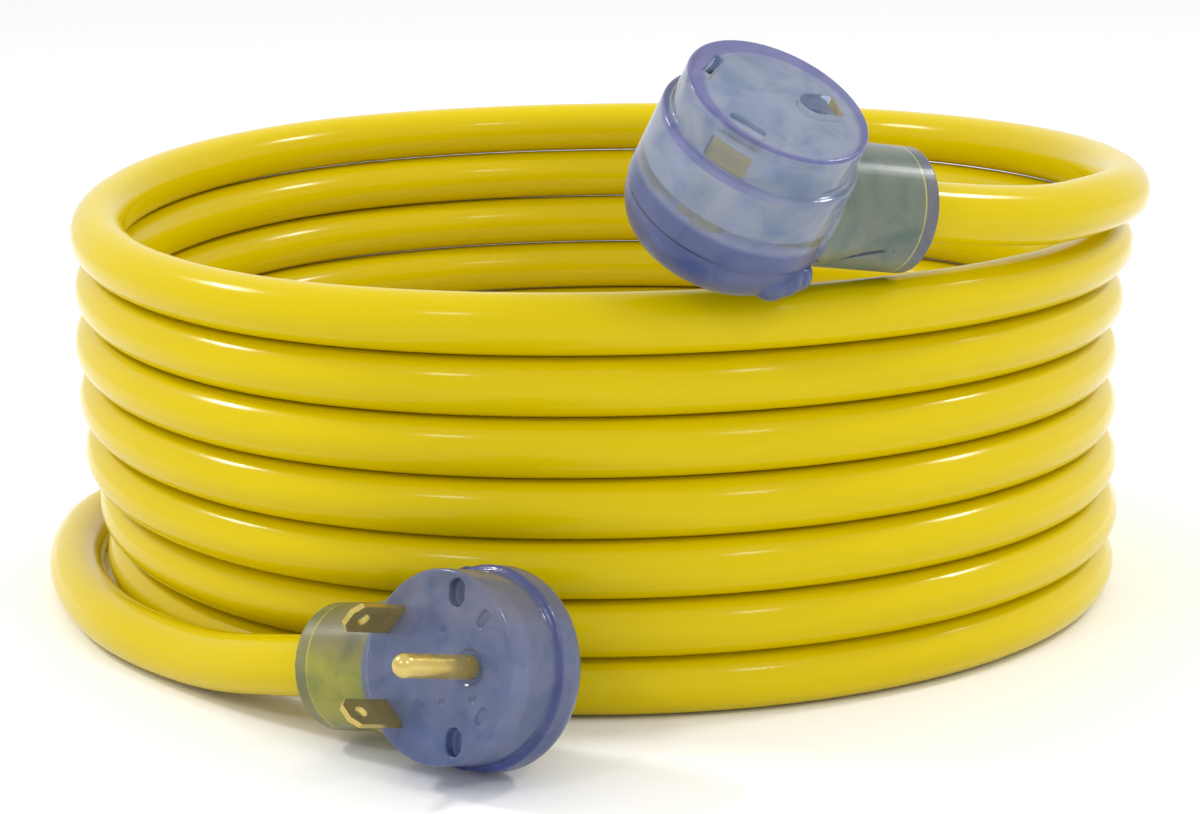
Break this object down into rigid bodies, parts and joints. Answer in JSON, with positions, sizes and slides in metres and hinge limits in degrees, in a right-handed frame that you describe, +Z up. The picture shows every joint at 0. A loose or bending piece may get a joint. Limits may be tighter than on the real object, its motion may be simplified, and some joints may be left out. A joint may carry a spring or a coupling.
{
  "type": "rv shore power cord",
  "caption": "Yellow power cord wound in an upright coil, with a translucent right-angle plug at its foot and a matching connector on top.",
  "frame": {"origin": "on the surface the coil stands on, at the middle of the whole object's footprint", "axes": "+Z up along the coil's axis, -Y towards the plug and the connector, +X to the right seen from the plug's side"},
  "size_m": [0.3528, 0.4057, 0.1854],
  "materials": {
    "yellow_jacket": "smooth glossy PVC jacket",
    "clear_blue_moulding": "cloudy translucent blue-violet PVC, moulded over the cord's end",
    "clear_insert": "pale translucent plastic",
    "contact_brass": "stamped and turned brass, lightly worn",
    "copper": "bare stranded copper",
    "black_insulation": "black PVC insulation",
    "white_insulation": "white PVC insulation",
    "green_insulation": "green PVC insulation"
  },
  "bodies": {
    "root": {"cord_coil": "yellow_jacket", "cord_lead": "yellow_jacket", "cord_tail": "yellow_jacket", "plug_body": "clear_blue_moulding", "plug_insert": "clear_insert", "plug_line_blade": "contact_brass", "plug_neutral_blade": "contact_brass", "plug_ground_pin": "contact_brass", "plug_jacket_end": "yellow_jacket", "plug_line_insulation": "black_insulation", "plug_neutral_insulation": "white_insulation", "plug_ground_insulation": "green_insulation", "plug_line_conductor": "copper", "plug_neutral_conductor": "copper", "plug_ground_conductor": "copper", "socket_body": "clear_blue_moulding", "socket_insert": "clear_insert", "socket_line_contact": "contact_brass", "socket_neutral_contact": "contact_brass", "socket_ground_contact": "contact_brass", "socket_jacket_end": "yellow_jacket", "socket_line_insulation": "black_insulation", "socket_neutral_insulation": "white_insulation", "socket_ground_insulation": "green_insulation", "socket_line_conductor": "copper", "socket_neutral_conductor": "copper", "socket_ground_conductor": "copper"}
  },
  "joints": []
}
